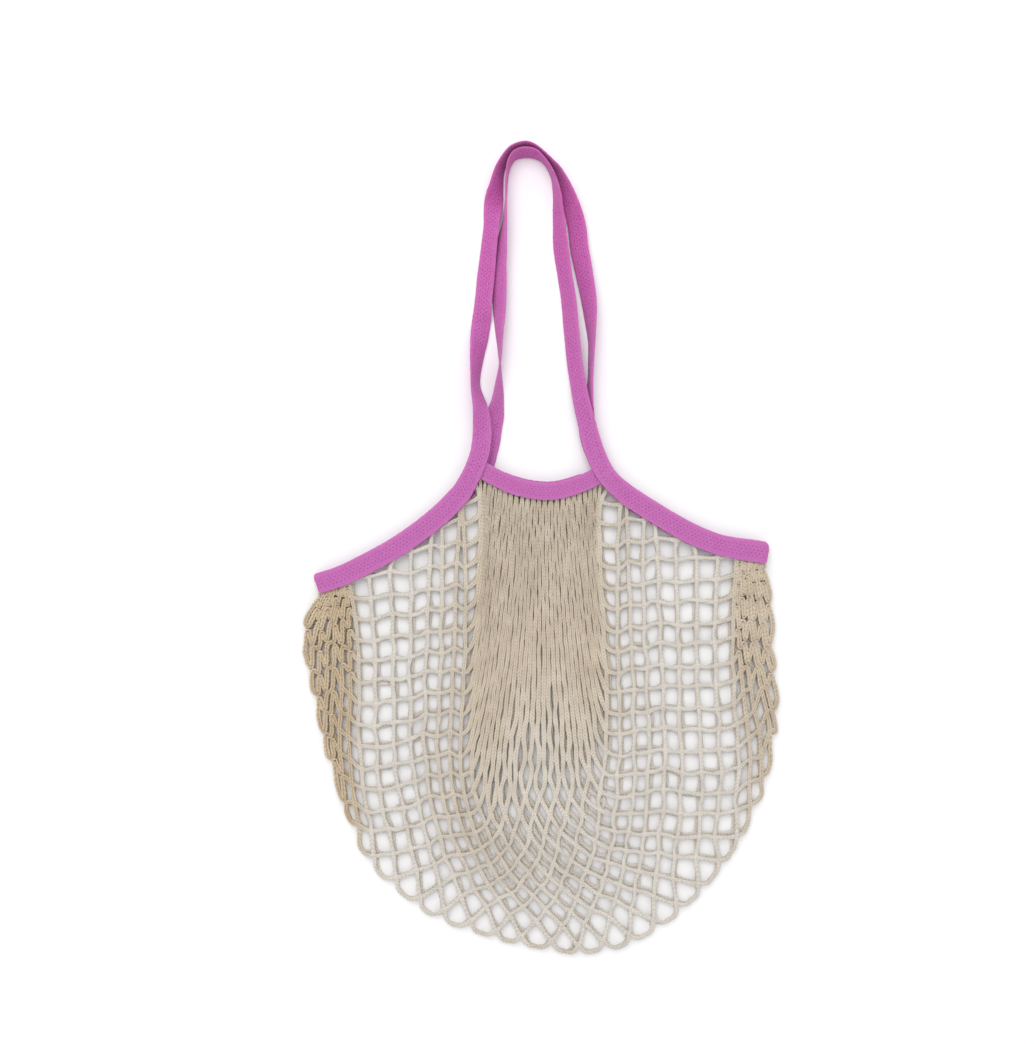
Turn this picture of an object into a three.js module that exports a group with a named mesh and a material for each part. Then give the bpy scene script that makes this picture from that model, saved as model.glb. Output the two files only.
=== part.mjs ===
// Mesh shopping bag of knotless cotton net with woven tape handles, lying flat on a surface.
// Millimetres, +Z up, +X to the bag's right, +Y from its bottom to its handles.
// The origin is on the surface, under the middle of the bag's outline.
import * as THREE from "three";

// Driving dimensions of the net: a square piece with its corners cut off and its sides cut on a slant.
const NET_CELLS = 50; // cells along each side of the square
const MOUTH_CUT = 24; // cells that each mouth band gathers at the front and back corners
const SLANT = 2; // columns of cells to each row that the sides are cut down
const FREE_COLUMNS = 8; // columns that hang from the free part of a sewn side
const SIDE_COLUMNS = 9; // and those gathered at its tape end
const BUNCHING = 1.4; // how much closer the free columns are beside the mouth band
const CELL = 17.4; // strand from one knot to the next
const DRAWN_EVERY = 2; // the solid is drawn at twice the real pitch

// Driving dimensions of the tape.
const TAPE_WIDTH = 17.5; // where it is sewn to the net
const STRAP_WIDTH = 16; // where it runs free
const BAND_WIDTH = 14.5;
const TAPE_THICK = 1.8;
const FIT_GAP = 0.3;
const TUCK = 6; // how far the net's edge reaches under the tape
const CUT_TUCK = 14; // and how far the cut ends between its knots do

// Section of a net strand at the solid's pitch.
const STRAND_HALF = 2.3;
const LEAST_GAP = 5.4; // a cell with a narrower gap stays closed
const RIDGE_OUT = 1.6; // strand surface above and below the middle of its layer
const RIDGE_IN = 1.3;
const RIM_OUT = 1.0;
const RIM_IN = 0.9;
const DENT = 0.5; // surface of a closed cell, above and below the middle

// Heights of the middles of the two net layers, on the surface and between the tapes.
const LAYER_GAP = 0.6;
const TAPE_CLEARANCE = 0.75;
const BACK_LOW = RIDGE_OUT;
const FRONT_LOW = BACK_LOW + 2 * RIDGE_IN + LAYER_GAP;
const BACK_HIGH = TAPE_THICK + TAPE_CLEARANCE + RIDGE_OUT;
const FRONT_HIGH = BACK_HIGH + 2 * RIDGE_IN + LAYER_GAP;
const FRONT_TAPE = FRONT_HIGH + RIDGE_OUT + FIT_GAP;
const CROSSING = FRONT_TAPE + TAPE_THICK + FIT_GAP; // where a front tape crosses the band's end
const LIFT_NEAR = 12; // within this distance of its sewn edge the net lies at tape height
const LIFT_FAR = 40; // and beyond this one it lies on the surface

// How the net settles between its sewn edges.
const START_DROP = 139; // where the free knots start, below the middle of the mouth
const START_ROUNDS = 3000;
const SETTLE_ROUNDS = 1000;
const HOLD_PASSES = 12;
const EVENING = 0.1; // share of the way to the neighbours' mean in each round
const PULL_FADE = 3; // how soon the downward pull dies away between the mouth and the fold
const LAYERS = {
  front: { pull: 4, gathered: 0.17 }, // gathered: share of the sewn edge taken by the side's columns
  back: { pull: 3, gathered: 0.175 },
};

// Middle of the bag's outline in the tables' coordinates, which becomes the origin.
const OUTLINE_MIDDLE = { x: 0.5, y: -2.1 };

// Centre lines of the sewn stretches of tape, from the bag's side to its middle.
const LEFT_BINDING = [
  { x: -189.5, y: -31.5 },
  { x: -166.0, y: -23.5 },
  { x: -137.0, y: -9.0 },
  { x: -111.5, y: 6.5 },
  { x: -86.5, y: 26.0 },
  { x: -68.5, y: 44.0 },
];
const RIGHT_BINDING = [
  { x: 191.0, y: -6.0 },
  { x: 178.5, y: -4.0 },
  { x: 161.0, y: -1.0 },
  { x: 141.5, y: 4.5 },
  { x: 120.5, y: 14.0 },
  { x: 98.0, y: 27.0 },
  { x: 76.0, y: 41.0 },
];
const LEFT_CORNER = { x: -60.0, y: 58.0 }; // where the net's sewn edge turns from tape to band
const RIGHT_CORNER = { x: 60.0, y: 54.5 };

// Free stretch of the tape that starts on the front left and ends on the back right.
// base is the height of the section's lowest point, and roll turns it about the tape's run.
const OUTER_HANDLE = [
  { x: -61.5, y: 55.5, base: CROSSING, roll: 0 },
  { x: -56.5, y: 65.0, base: CROSSING, roll: 0 },
  { x: -51.5, y: 80.0, base: CROSSING, roll: 4 },
  { x: -49.8, y: 97.0, base: 9.5, roll: 10 },
  { x: -50.8, y: 114.5, base: 9.2, roll: 36 },
  { x: -55.4, y: 137.5, base: 1.5, roll: 62 },
  { x: -54.2, y: 161.0, base: 0, roll: 44 },
  { x: -51.6, y: 182.0, base: 0, roll: 12 },
  { x: -49.2, y: 204.0, base: 0, roll: -20 },
  { x: -46.7, y: 228.0, base: 0, roll: -20 },
  { x: -44.2, y: 252.0, base: 0, roll: -30 },
  { x: -41.6, y: 275.0, base: 0, roll: -28 },
  { x: -40.3, y: 291.0, base: 0, roll: 4 },
  { x: -38.1, y: 303.0, base: 0, roll: 40 },
  { x: -34.3, y: 319.5, base: 0, roll: 64 },
  { x: -25.8, y: 333.5, base: 0, roll: 77 },
  { x: -14.5, y: 338.3, base: 0, roll: 80 },
  { x: -6.0, y: 336.4, base: 0, roll: 81 },
  { x: 2.8, y: 329.6, base: 0, roll: 83 },
  { x: 9.0, y: 323.0, base: 0, roll: 79 },
  { x: 15.2, y: 314.8, base: 0, roll: 69 },
  { x: 22.0, y: 298.5, base: 0, roll: 44 },
  { x: 29.8, y: 274.0, base: 0, roll: 18 },
  { x: 32.6, y: 252.0, base: 0, roll: 16 },
  { x: 37.0, y: 228.0, base: 0, roll: 28 },
  { x: 40.8, y: 204.5, base: 0, roll: 42 },
  { x: 42.6, y: 175.5, base: 0, roll: 70 },
  { x: 42.0, y: 156.0, base: 0, roll: 76 },
  { x: 41.3, y: 137.5, base: 0, roll: 76 },
  { x: 39.2, y: 118.0, base: 0, roll: 52 },
  { x: 39.0, y: 102.0, base: 0, roll: 24 },
  { x: 43.0, y: 86.0, base: 0, roll: 0 },
  { x: 49.5, y: 70.5, base: 0, roll: 0 },
  { x: 59.0, y: 56.5, base: 0, roll: 0 },
];

// Free stretch of the other tape, from the back left to the front right.
const INNER_HANDLE = [
  { x: -57.5, y: 56.0, base: 0, roll: 0 },
  { x: -48.8, y: 66.5, base: 0, roll: 0 },
  { x: -43.2, y: 87.0, base: 0, roll: 4 },
  { x: -40.3, y: 104.0, base: 0, roll: 7 },
  { x: -38.8, y: 112.5, base: 0, roll: 20 },
  { x: -37.0, y: 121.0, base: 0, roll: 46 },
  { x: -35.3, y: 137.5, base: 0, roll: 68 },
  { x: -34.7, y: 158.0, base: 0, roll: 95 },
  { x: -35.0, y: 175.0, base: 0, roll: 110 },
  { x: -35.2, y: 204.5, base: 0, roll: 136 },
  { x: -35.0, y: 228.0, base: 0, roll: 138 },
  { x: -33.9, y: 252.0, base: 0, roll: 128 },
  { x: -30.9, y: 275.0, base: 0, roll: 104 },
  { x: -29.7, y: 294.5, base: 0, roll: 91 },
  { x: -29.2, y: 311.0, base: 0, roll: 86 },
  { x: -27.5, y: 321.5, base: 0, roll: 82 },
  { x: -23.5, y: 329.0, base: 0, roll: 77 },
  { x: -17.5, y: 332.0, base: 0, roll: 73 },
  { x: -10.5, y: 332.4, base: 0, roll: 73 },
  { x: -4.2, y: 330.8, base: 0, roll: 77 },
  { x: 1.2, y: 326.8, base: 0, roll: 86 },
  { x: 6.0, y: 320.4, base: 0, roll: 86 },
  { x: 9.8, y: 312.5, base: 0, roll: 82 },
  { x: 12.0, y: 304.0, base: 0, roll: 74 },
  { x: 13.4, y: 294.5, base: 0, roll: 66 },
  { x: 15.0, y: 274.0, base: 0, roll: 52 },
  { x: 16.7, y: 252.0, base: 0, roll: 40 },
  { x: 20.4, y: 228.0, base: 0, roll: 42 },
  { x: 23.6, y: 204.5, base: 0, roll: 39 },
  { x: 27.7, y: 161.0, base: 0.4, roll: 38 },
  { x: 31.1, y: 137.5, base: 2.4, roll: 36 },
  { x: 34.6, y: 118.5, base: 7.2, roll: 29 },
  { x: 38.6, y: 102.0, base: 8.0, roll: 20 },
  { x: 43.6, y: 84.0, base: CROSSING, roll: 7 },
  { x: 51.2, y: 66.0, base: CROSSING, roll: 0 },
  { x: 61.0, y: 53.0, base: CROSSING, roll: 0 },
];

// Centre lines of the short bands at the middle of the mouth, and the net's edge along them.
const FRONT_BAND = [
  { x: -58.0, y: 70.0 },
  { x: -46.0, y: 62.5 },
  { x: -28.5, y: 53.5 },
  { x: -10.5, y: 48.0 },
  { x: 8.0, y: 46.5 },
  { x: 25.5, y: 50.0 },
  { x: 41.0, y: 56.5 },
  { x: 55.0, y: 64.0 },
];
const BACK_BAND = [
  { x: -35.5, y: 57.5 },
  { x: -24.0, y: 53.0 },
  { x: -8.0, y: 49.0 },
  { x: 8.0, y: 48.0 },
  { x: 22.0, y: 50.5 },
  { x: 37.5, y: 55.5 },
];
const BAND_EDGE = [
  { x: -56.0, y: 58.0 },
  { x: -46.0, y: 60.5 },
  { x: -28.5, y: 52.0 },
  { x: -10.5, y: 46.5 },
  { x: 8.0, y: 45.0 },
  { x: 25.5, y: 48.5 },
  { x: 41.0, y: 55.0 },
  { x: 55.0, y: 56.5 },
];

// Fold of the net, from its left corner round the bottom to its right corner.
const FOLD = [
  { x: -184.5, y: -34.0 },
  { x: -201.0, y: -72.0 },
  { x: -192.0, y: -124.5 },
  { x: -185.5, y: -156.0 },
  { x: -168.5, y: -212.5 },
  { x: -146.5, y: -265.0 },
  { x: -104.0, y: -304.0 },
  { x: -58.5, y: -324.5 },
  { x: -5.0, y: -338.0 },
  { x: 44.5, y: -343.0 },
  { x: 94.0, y: -326.0 },
  { x: 141.5, y: -284.0 },
  { x: 178.0, y: -230.5 },
  { x: 198.0, y: -164.5 },
  { x: 199.5, y: -130.5 },
  { x: 196.5, y: -84.5 },
  { x: 194.0, y: -45.5 },
  { x: 188.0, y: -9.0 },
];
const FOLD_WAVE = 0.12; // how much longer the fold's steps are at the sides than at the bottom
const CROWDING = { left: 0.7, right: 0.45 }; // how strongly the net is drawn to the fold at each side
const CROWD_REACH = 40; // distance from the fold within which that fades
const CROWD_MIDDLE = -185; // height at which it is strongest
const CROWD_HEIGHT = 75; // and how far above and below it reaches

// Fineness of the curves.
const TENSION = 0.5;
const SECTIONS_PER_STATION = 3;
const SEWN_STEPS_PER_ROW = 8;
const EDGE_SAMPLES = 80;
const FOLD_SAMPLES = 200;

const COLUMNS = FREE_COLUMNS + SIDE_COLUMNS;
const CORNER = { u: MOUTH_CUT + COLUMNS, v: NET_CELLS - MOUTH_CUT - COLUMNS }; // start of the fold
const FOLD_CELLS = CORNER.u - CORNER.v;
const LAST_FREE = MOUTH_CUT + FREE_COLUMNS;
const UP = new THREE.Vector3(0, 0, 1);

// Curves

function smooth(points) {
  return new THREE.CatmullRomCurve3(points, false, "catmullrom", TENSION);
}

function curveThrough(rows) {
  return smooth(rows.map((row) => new THREE.Vector3(row.x, row.y, 0)));
}

function leftOf(direction) {
  return new THREE.Vector3(-direction.y, direction.x, 0).normalize();
}

// The line along which the net is sewn to a tape: beside the tape's middle, on the net's side.
function sewnLine(rows, netSide, tuck = TUCK) {
  const curve = curveThrough(rows);
  const steps = SEWN_STEPS_PER_ROW * rows.length;
  const line = [];
  for (let step = 0; step <= steps; step += 1) {
    const place = curve.getPoint(step / steps);
    const normal = leftOf(curve.getTangent(step / steps));
    line.push(place.addScaledVector(normal, netSide * (TAPE_WIDTH / 2 - tuck)));
  }
  return smooth(line);
}

const leftRows = [...LEFT_BINDING, LEFT_CORNER];
const rightRows = [...RIGHT_BINDING, RIGHT_CORNER];
const sewn = {
  band: curveThrough(BAND_EDGE),
  left: sewnLine(leftRows, -1),
  right: sewnLine(rightRows, 1),
};
const cut = { left: sewnLine(leftRows, -1, CUT_TUCK), right: sewnLine(rightRows, 1, CUT_TUCK) };
const fold = curveThrough(FOLD);
const foldLine = fold.getSpacedPoints(FOLD_SAMPLES);
const lowest = foldLine.reduce((best, point, i) => (point.y < foldLine[best].y ? i : best), 0);
const foldSides = { left: foldLine.slice(0, lowest + 1), right: foldLine.slice(lowest).reverse() };
const edgePoints = Object.values(sewn).flatMap((curve) => curve.getSpacedPoints(EDGE_SAMPLES));

// Net

function isBeyondCut(u, v, spare) {
  return u + v >= MOUTH_CUT && Math.max(u - SLANT * v, v - SLANT * u) <= MOUTH_CUT + spare;
}

// spare: columns beyond the cut that still count, whose ends are under the tape.
function isInNet(u, v, spare = 0) {
  return isBeyondCut(u, v, spare) && isBeyondCut(NET_CELLS - v, NET_CELLS - u, spare);
}

// One layer of the net, from its mouth to the fold, as a grid of knots.
// x on the fold at a height, on the left or right side of the bag.
function foldAt(edge, y) {
  const below = edge.findIndex((point) => point.y < y);
  if (below < 0) return edge[edge.length - 1].x;
  if (below === 0) return edge[0].x;
  const [upper, lower] = [edge[below - 1], edge[below]];
  return THREE.MathUtils.mapLinear(y, upper.y, lower.y, upper.x, lower.x);
}

// The net is drawn towards the fold at the bag's two sides.
function crowdedX(x, y) {
  const height = Math.exp(-(((y - CROWD_MIDDLE) / CROWD_HEIGHT) ** 2));
  return Object.entries(foldSides).reduce((place, [name, edge]) => {
    const fromEdge = place - foldAt(edge, y);
    const near = Math.exp(-Math.abs(fromEdge) / CROWD_REACH);
    return place - CROWDING[name] * height * near * fromEdge;
  }, x);
}

function settleLayer({ pull, gathered }) {
  const size = NET_CELLS + 1;
  const index = (u, v) => u * size + v;
  const x = new Float64Array(size * size);
  const y = new Float64Array(size * size);
  const held = new Uint8Array(size * size);
  const inside = (u, v) => isInNet(u, v, SLANT - 1) && u + v <= NET_CELLS;
  const hold = (u, v, place) => {
    x[index(u, v)] = place.x;
    y[index(u, v)] = place.y;
    held[index(u, v)] = 1;
  };

  for (let step = 0; step <= MOUTH_CUT; step += 1) {
    hold(MOUTH_CUT - step, step, sewn.band.getPointAt(step / MOUTH_CUT));
  }
  for (let column = 0; column <= COLUMNS; column += 1) {
    const freeShare = 1 - (1 - gathered) * (column / FREE_COLUMNS) ** BUNCHING;
    const sideShare = (gathered * (COLUMNS - column)) / SIDE_COLUMNS;
    const share = column <= FREE_COLUMNS ? freeShare : sideShare;
    const line = column % SLANT === 0 ? sewn : cut;
    const row = Math.floor(column / SLANT);
    hold(MOUTH_CUT + column, row, line.left.getPointAt(share));
    hold(row, MOUTH_CUT + column, line.right.getPointAt(share));
  }
  const runs = [0];
  for (let step = 0; step < FOLD_CELLS; step += 1) {
    const turn = (2 * Math.PI * (step + 0.5)) / FOLD_CELLS;
    runs.push(runs[step] + 1 + FOLD_WAVE * Math.cos(turn));
  }
  const foldPoint = (step) => {
    const before = Math.min(Math.floor(step), FOLD_CELLS - 1);
    const run = THREE.MathUtils.lerp(runs[before], runs[before + 1], step - before);
    return fold.getPointAt(run / runs[FOLD_CELLS]);
  };
  for (let step = 0; step <= FOLD_CELLS; step += 1) {
    hold(CORNER.u - step, CORNER.v + step, foldPoint(step));
  }

  const free = [];
  const weight = [];
  const strands = [[], [], [], []];
  for (let u = 0; u < size; u += 1) {
    for (let v = 0; v < size; v += 1) {
      if (!inside(u, v)) continue;
      const at = index(u, v);
      if (!held[at]) {
        free.push(at);
        weight.push(((NET_CELLS - u - v) / (NET_CELLS - MOUTH_CUT)) ** PULL_FADE);
        y[at] = -START_DROP;
      }
      if (inside(u + 1, v)) strands[2 * (u % 2)].push([at, at + size]);
      if (inside(u, v + 1)) strands[2 * (v % 2) + 1].push([at, at + 1]);
    }
  }

  // Every free knot has four neighbours.
  const meanOf = (values, at) =>
    (values[at - 1] + values[at + 1] + values[at - size] + values[at + size]) / 4;
  const meanX = new Float64Array(free.length);
  const meanY = new Float64Array(free.length);
  const even = (share, drop) => {
    for (let i = 0; i < free.length; i += 1) {
      meanX[i] = meanOf(x, free[i]);
      meanY[i] = meanOf(y, free[i]);
    }
    for (let i = 0; i < free.length; i += 1) {
      x[free[i]] += share * (meanX[i] - x[free[i]]);
      y[free[i]] += share * (meanY[i] - y[free[i]]) - drop * weight[i];
    }
  };
  const shorten = ([from, to]) => {
    const dx = x[to] - x[from];
    const dy = y[to] - y[from];
    const length = Math.sqrt(dx * dx + dy * dy);
    const moving = 2 - held[from] - held[to];
    if (length <= CELL || moving === 0) return;
    const share = (length - CELL) / length / moving;
    x[from] += (1 - held[from]) * share * dx;
    y[from] += (1 - held[from]) * share * dy;
    x[to] -= (1 - held[to]) * share * dx;
    y[to] -= (1 - held[to]) * share * dy;
  };
  for (let round = 0; round < START_ROUNDS; round += 1) even(1, 0);
  for (let round = 0; round < SETTLE_ROUNDS; round += 1) {
    even(EVENING, pull);
    for (let pass = 0; pass < HOLD_PASSES; pass += 1) {
      strands.forEach((group) => group.forEach(shorten));
    }
  }
  const knot = (u, v) => new THREE.Vector3(x[index(u, v)], y[index(u, v)], 0);

  // Below each tape end the gathered columns share the room between the last free one and the fold.
  for (let u = LAST_FREE + 1; u < CORNER.u; u += 1) {
    for (let v = Math.floor((u - MOUTH_CUT) / SLANT) + 1; u + v < NET_CELLS; v += 1) {
      const level = v - (u - MOUTH_CUT) / SLANT;
      const foldColumn = (SLANT * (NET_CELLS - level) + MOUTH_CUT) / (SLANT + 1);
      const share = (u - LAST_FREE) / (foldColumn - LAST_FREE);
      const step = CORNER.u - foldColumn;
      const freeRow = level + FREE_COLUMNS / SLANT;
      const above = Math.floor(freeRow);
      const left = knot(LAST_FREE, above).lerp(knot(LAST_FREE, above + 1), freeRow - above);
      const right = knot(above, LAST_FREE).lerp(knot(above + 1, LAST_FREE), freeRow - above);
      hold(u, v, left.lerp(foldPoint(step), share));
      hold(v, u, right.lerp(foldPoint(FOLD_CELLS - step), share));
    }
  }
  for (let at = 0; at < size * size; at += 1) x[at] = crowdedX(x[at], y[at]);
  return knot;
}

// 1 beside a sewn edge and 0 well away from it.
function nearSewnEdge(place) {
  const distance = Math.min(...edgePoints.map((point) => point.distanceTo(place)));
  return THREE.MathUtils.clamp((LIFT_FAR - distance) / (LIFT_FAR - LIFT_NEAR), 0, 1);
}

// The solid's knots: those of every second row and column, and all on the slanted edges.
function isDrawn(u, v) {
  const isOnGrid = u % DRAWN_EVERY === 0 && v % DRAWN_EVERY === 0;
  const isOnFrontEdge = Math.max(u - SLANT * v, v - SLANT * u) === MOUTH_CUT;
  const isOnBackEdge = Math.max(SLANT * u - v, SLANT * v - u) === NET_CELLS + MOUTH_CUT;
  return isInNet(u, v) && (isOnGrid || isOnFrontEdge || isOnBackEdge);
}

// Each knot's place in the middle of its layer, and the way out of the bag there.
function drawnKnots() {
  const front = settleLayer(LAYERS.front);
  const back = settleLayer(LAYERS.back);
  const knots = new Map();
  for (let u = 0; u <= NET_CELLS; u += 1) {
    for (let v = 0; v <= NET_CELLS; v += 1) {
      if (!isDrawn(u, v)) continue;
      const side = Math.sign(u + v - NET_CELLS);
      const place = side > 0 ? back(NET_CELLS - v, NET_CELLS - u) : front(u, v);
      const lift = nearSewnEdge(place);
      const frontHeight = THREE.MathUtils.lerp(FRONT_LOW, FRONT_HIGH, lift);
      const backHeight = THREE.MathUtils.lerp(BACK_LOW, BACK_HIGH, lift);
      const out = new THREE.Vector3(0, 0, -side);
      if (side === 0) out.copy(leftOf(front(u - 1, v + 1).sub(front(u + 1, v - 1))).negate());
      place.z = [frontHeight, (frontHeight + backHeight) / 2, backHeight][side + 1];
      knots.set(`${u},${v}`, { place, out, side });
    }
  }
  return knots;
}

class Shell {
  constructor() {
    this.points = [];
    this.faces = [];
  }

  point(place, out, height) {
    this.points.push(place.clone().addScaledVector(out, height));
    return this.points.length - 1;
  }

  face(...corners) {
    for (let i = 2; i < corners.length; i += 1) {
      this.faces.push(corners[0], corners[i - 1], corners[i]);
    }
  }

  geometry() {
    const geometry = new THREE.BufferGeometry();
    geometry.setAttribute("position", new THREE.BufferAttribute(
      new Float32Array(this.points.flatMap((point) => point.toArray())), 3));
    geometry.setIndex(this.faces);
    geometry.computeVertexNormals();
    return geometry;
  }
}

function gapHalf(corners, centre) {
  const distances = corners.map((corner, i) => {
    const line = new THREE.Line3(corner.place, corners[(i + 1) % corners.length].place);
    return line.closestPointToPoint(centre, false, new THREE.Vector3()).distanceTo(centre);
  });
  return Math.min(...distances);
}

// A cell between its strands: open inside a rim where the gap is wide, and a dented panel elsewhere.
function addCell(shell, corners) {
  const centre = new THREE.Vector3();
  const out = new THREE.Vector3();
  corners.forEach((corner) => {
    centre.addScaledVector(corner.place, 1 / corners.length);
    out.add(corner.out);
  });
  out.normalize();
  const half = gapHalf(corners, centre);
  const isOpen = 2 * (half - STRAND_HALF) > LEAST_GAP;
  const lowered = corners.every((corner) => corner.side > 0);
  if (!isOpen) {
    const top = shell.point(centre, out, lowered ? RIDGE_OUT : DENT);
    const under = shell.point(centre, out, -DENT);
    corners.forEach((corner, i) => {
      const next = corners[(i + 1) % corners.length];
      shell.face(corner.outer, next.outer, top);
      shell.face(next.inner, corner.inner, under);
    });
    return;
  }
  const share = 1 - STRAND_HALF / half;
  const rims = corners.map((corner) => {
    const place = centre.clone().lerp(corner.place, share);
    const away = out.clone().lerp(corner.out, share).normalize();
    return {
      outer: shell.point(place, away, lowered ? RIDGE_OUT : RIM_OUT),
      inner: shell.point(place, away, -RIM_IN),
    };
  });
  corners.forEach((corner, i) => {
    const j = (i + 1) % corners.length;
    shell.face(corner.outer, corners[j].outer, rims[j].outer, rims[i].outer);
    shell.face(corners[j].inner, corner.inner, rims[i].inner, rims[j].inner);
    shell.face(rims[i].outer, rims[j].outer, rims[j].inner, rims[i].inner);
  });
}

// The knots that may stand round a cell of the solid, which is two real cells wide.
const ROUND_A_CELL = [[0, 0], [1, 0], [2, 0], [2, 1], [2, 2], [1, 2], [0, 2], [0, 1]];

function netGeometry() {
  const shell = new Shell();
  const knots = drawnKnots();
  knots.forEach((knot) => {
    knot.outer = shell.point(knot.place, knot.out, RIDGE_OUT);
    knot.inner = shell.point(knot.place, knot.out, -RIDGE_IN);
  });
  const edges = new Map();
  for (let u = 0; u < NET_CELLS; u += DRAWN_EVERY) {
    for (let v = 0; v < NET_CELLS; v += DRAWN_EVERY) {
      const corners = ROUND_A_CELL.map(([du, dv]) => knots.get(`${u + du},${v + dv}`)).filter(Boolean);
      if (corners.length < 3) continue;
      addCell(shell, corners);
      corners.forEach((corner, i) => {
        const next = corners[(i + 1) % corners.length];
        edges.set(`${corner.outer},${next.outer}`, [corner, next]);
      });
    }
  }
  edges.forEach(([from, to]) => {
    if (edges.has(`${to.outer},${from.outer}`)) return;
    shell.face(from.outer, from.inner, to.inner, to.outer);
  });
  return shell.geometry();
}

// Tape

// A column's value between two stations.
function valueAt(stations, column, share) {
  const run = share * (stations.length - 1);
  const before = Math.min(Math.floor(run), stations.length - 2);
  return THREE.MathUtils.lerp(stations[before][column], stations[before + 1][column], run - before);
}

// A flat section carried along its stations, with its lowest point at each station's base.
function tapeGeometry(stations) {
  const curve = curveThrough(stations);
  const rolls = smooth(stations.map(({ roll }) => new THREE.Vector3(roll, 0, 0)));
  const steps = SECTIONS_PER_STATION * (stations.length - 1);
  const shell = new Shell();
  const rings = [];
  for (let step = 0; step <= steps; step += 1) {
    const middle = curve.getPoint(step / steps);
    const width = valueAt(stations, "width", step / steps);
    const angle = THREE.MathUtils.degToRad(rolls.getPoint(step / steps).x);
    const beside = leftOf(curve.getTangent(step / steps));
    const across = beside.clone().multiplyScalar(Math.cos(angle)).addScaledVector(UP, Math.sin(angle));
    const through = UP.clone().multiplyScalar(Math.cos(angle)).addScaledVector(beside, -Math.sin(angle));
    const reach = (Math.abs(across.z) * width + Math.abs(through.z) * TAPE_THICK) / 2;
    middle.z = valueAt(stations, "base", step / steps) + reach;
    rings.push([[1, -1], [1, 1], [-1, 1], [-1, -1]].map(([side, face]) => {
      const place = middle.clone().addScaledVector(across, side * width / 2);
      return shell.point(place, through, face * TAPE_THICK / 2);
    }));
  }
  for (let step = 0; step < steps; step += 1) {
    const [here, next] = [rings[step], rings[step + 1]];
    here.forEach((corner, i) => {
      const j = (i + 1) % here.length;
      shell.face(corner, here[j], next[j], next[i]);
    });
  }
  shell.face(...[...rings[0]].reverse());
  shell.face(...rings[steps]);
  return shell.geometry();
}

function flatAt(base, rows, width) {
  return rows.map((row) => ({ ...row, base, roll: 0, width }));
}

function strap(rows) {
  return rows.map((row) => ({ ...row, width: STRAP_WIDTH }));
}

// Pieces

const cotton = new THREE.MeshStandardMaterial({ color: 0xd6c8aa, roughness: 0.9, metalness: 0 });
const orchid = new THREE.MeshStandardMaterial({ color: 0xcb6bbe, roughness: 0.75, metalness: 0 });

function piece(name, geometry, material) {
  const mesh = new THREE.Mesh(geometry, material);
  mesh.name = name;
  return mesh;
}

const middleToRight = [...RIGHT_BINDING].reverse();
const outerTape = [
  ...flatAt(FRONT_TAPE, LEFT_BINDING, TAPE_WIDTH),
  ...strap(OUTER_HANDLE),
  ...flatAt(0, middleToRight, TAPE_WIDTH),
];
const innerTape = [
  ...flatAt(0, LEFT_BINDING, TAPE_WIDTH),
  ...strap(INNER_HANDLE),
  ...flatAt(FRONT_TAPE, middleToRight, TAPE_WIDTH),
];

const group = new THREE.Group();
group.position.set(-OUTLINE_MIDDLE.x, -OUTLINE_MIDDLE.y, 0);
group.add(
  piece("net_body", netGeometry(), cotton),
  piece("handle_tape_outer", tapeGeometry(outerTape), orchid),
  piece("handle_tape_inner", tapeGeometry(innerTape), orchid),
  piece("mouth_band_front", tapeGeometry(flatAt(FRONT_TAPE, FRONT_BAND, BAND_WIDTH)), orchid),
  piece("mouth_band_back", tapeGeometry(flatAt(0, BACK_BAND, BAND_WIDTH)), orchid),
);

export default group;
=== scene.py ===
import math

import bpy
import numpy as np
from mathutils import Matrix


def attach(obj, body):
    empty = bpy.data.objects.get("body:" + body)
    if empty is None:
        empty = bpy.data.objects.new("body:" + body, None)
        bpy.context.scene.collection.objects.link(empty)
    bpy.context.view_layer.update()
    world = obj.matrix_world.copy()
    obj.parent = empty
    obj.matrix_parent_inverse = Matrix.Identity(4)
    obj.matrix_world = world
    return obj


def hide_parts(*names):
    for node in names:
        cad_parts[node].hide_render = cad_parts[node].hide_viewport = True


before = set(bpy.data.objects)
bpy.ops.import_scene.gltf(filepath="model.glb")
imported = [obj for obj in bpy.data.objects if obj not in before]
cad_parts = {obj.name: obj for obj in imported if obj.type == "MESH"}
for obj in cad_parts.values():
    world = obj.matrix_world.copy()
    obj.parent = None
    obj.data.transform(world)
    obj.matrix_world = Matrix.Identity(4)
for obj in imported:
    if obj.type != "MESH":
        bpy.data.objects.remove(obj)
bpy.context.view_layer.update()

MM = 0.001
rng = np.random.default_rng(20)

# Net: a square piece with its corners cut off and its sides cut on a slant
NET_CELLS = 50
MOUTH_CUT = 24
SLANT = 2
FREE_COLUMNS = 8
SIDE_COLUMNS = 9
BUNCHING = 1.4
CELL = 17.4
TAPE_WIDTH = 17.5
STRAP_WIDTH = 16.0
BAND_WIDTH = 14.5
TAPE_THICK = 1.8
TUCK = 6.0
CUT_TUCK = 14.0
OUTLINE_MIDDLE = np.array([0.5, -2.1])

# Heights of the two net layers and of the tapes
BACK_LOW = 2.0
FRONT_LOW = 5.2
BACK_HIGH = 4.2
FRONT_HIGH = 7.2
FRONT_TAPE = 9.25
CROSSING = 11.35
LIFT_NEAR = 12.0
LIFT_FAR = 40.0

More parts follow.
